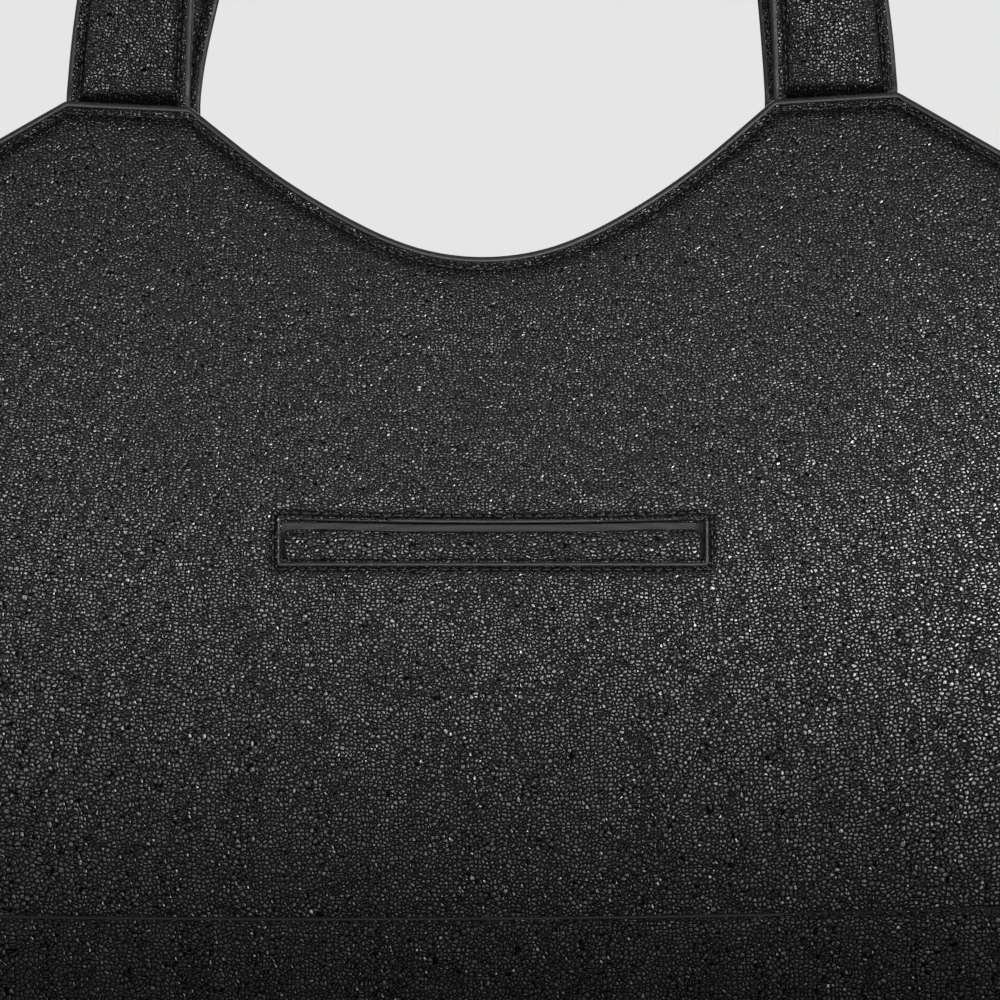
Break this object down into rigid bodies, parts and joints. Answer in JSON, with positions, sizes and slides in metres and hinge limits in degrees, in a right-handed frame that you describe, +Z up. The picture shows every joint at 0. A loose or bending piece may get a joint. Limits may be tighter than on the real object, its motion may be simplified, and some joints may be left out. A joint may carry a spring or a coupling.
{
  "type": "diaper bag",
  "caption": "Pebbled leather diaper tote with a scooped mouth, padded strap handles, a welt pocket, a lapped base and a lined inside with bottle, slip and zip pockets.",
  "frame": {"origin": "on the floor under the middle of the bag, at the bottom of its feet", "axes": "+Z up, front face towards -Y, +X to the right seen from the front"},
  "size_m": [0.456, 0.1686, 0.5865],
  "materials": {
    "leather": "pebbled, semi-matt, black",
    "leather_edge": "smooth bound edge, satin, black",
    "lining_cloth": "plain woven lining, matt, warm grey",
    "elastic": "ribbed elastic, matt",
    "foam": "closed-cell padding, matt",
    "board": "stiffening board, matt",
    "gunmetal": "gunmetal, polished",
    "zip_tape": "woven tape, matt",
    "zip_metal": "gunmetal, satin"
  },
  "bodies": {
    "bag": {"front_panel": "leather", "rear_panel": "leather", "left_gusset": "leather", "right_gusset": "leather", "base_tray": "leather", "front_facing": "leather", "rear_facing": "leather", "left_facing": "leather", "right_facing": "leather", "pocket_patch": "leather", "pocket_lip": "leather", "slip_pocket_binding": "leather", "front_handle_tab_left": "leather", "front_handle_tab_right": "leather", "rear_handle_tab_left": "leather", "rear_handle_tab_right": "leather", "ring_loop_left": "leather", "ring_loop_right": "leather", "front_edge_binding": "leather_edge", "rear_edge_binding": "leather_edge", "left_edge_binding": "leather_edge", "right_edge_binding": "leather_edge", "front_lining": "lining_cloth", "rear_lining": "lining_cloth", "left_lining": "lining_cloth", "right_lining": "lining_cloth", "floor_lining": "lining_cloth", "pocket_pouch_front": "lining_cloth", "pocket_pouch_rear": "lining_cloth", "slip_pocket": "lining_cloth", "bottle_pocket_left": "lining_cloth", "bottle_pocket_right": "lining_cloth", "zip_pouch_front": "lining_cloth", "zip_pouch_rear": "lining_cloth", "bottle_elastic_left": "elastic", "bottle_elastic_right": "elastic", "base_board": "board", "zip_tape_upper": "zip_tape", "zip_tape_lower": "zip_tape", "zip_teeth_upper": "zip_metal", "zip_teeth_lower": "zip_metal", "zip_stop_left": "zip_metal", "zip_stop_right": "zip_metal", "foot_front_left": "gunmetal", "foot_front_right": "gunmetal", "foot_rear_left": "gunmetal", "foot_rear_right": "gunmetal", "magnet_snap_front": "gunmetal", "magnet_snap_rear": "gunmetal"},
    "front_handle": {"front_handle_face": "leather", "front_handle_core": "foam", "front_handle_backing": "leather"},
    "rear_handle": {"rear_handle_face": "leather", "rear_handle_core": "foam", "rear_handle_backing": "leather"},
    "zip_slider": {"zip_slider": "zip_metal"},
    "zip_pull": {"zip_pull": "zip_metal"},
    "ring_left": {"ring_left": "gunmetal"},
    "ring_right": {"ring_right": "gunmetal"}
  },
  "joints": [
    {"name": "front_handle_fold", "type": "hinge", "parent": "bag", "child": "front_handle", "pos_m": [0, -0.032, 0.3365], "axis": [1, 0, 0], "range_deg": [-2, 78]},
    {"name": "rear_handle_fold", "type": "hinge", "parent": "bag", "child": "rear_handle", "pos_m": [0, 0.032, 0.3365], "axis": [1, 0, 0], "range_deg": [-78, 2]},
    {"name": "zip_slide", "type": "slide", "parent": "bag", "child": "zip_slider", "axis": [1, 0, 0], "range_m": [0, 0.164]},
    {"name": "zip_pull_swing", "type": "hinge", "parent": "zip_slider", "child": "zip_pull", "pos_m": [-0.082, 0.05474, 0.22484], "axis": [1, 0, 0], "range_deg": [-150, 15]},
    {"name": "ring_left_swing", "type": "hinge", "parent": "bag", "child": "ring_left", "pos_m": [-0.21077, 0, 0.262], "axis": [0, 1, 0], "range_deg": [0, 165]},
    {"name": "ring_right_swing", "type": "hinge", "parent": "bag", "child": "ring_right", "pos_m": [0.21077, 0, 0.262], "axis": [0, 1, 0], "range_deg": [-165, 0]}
  ]
}
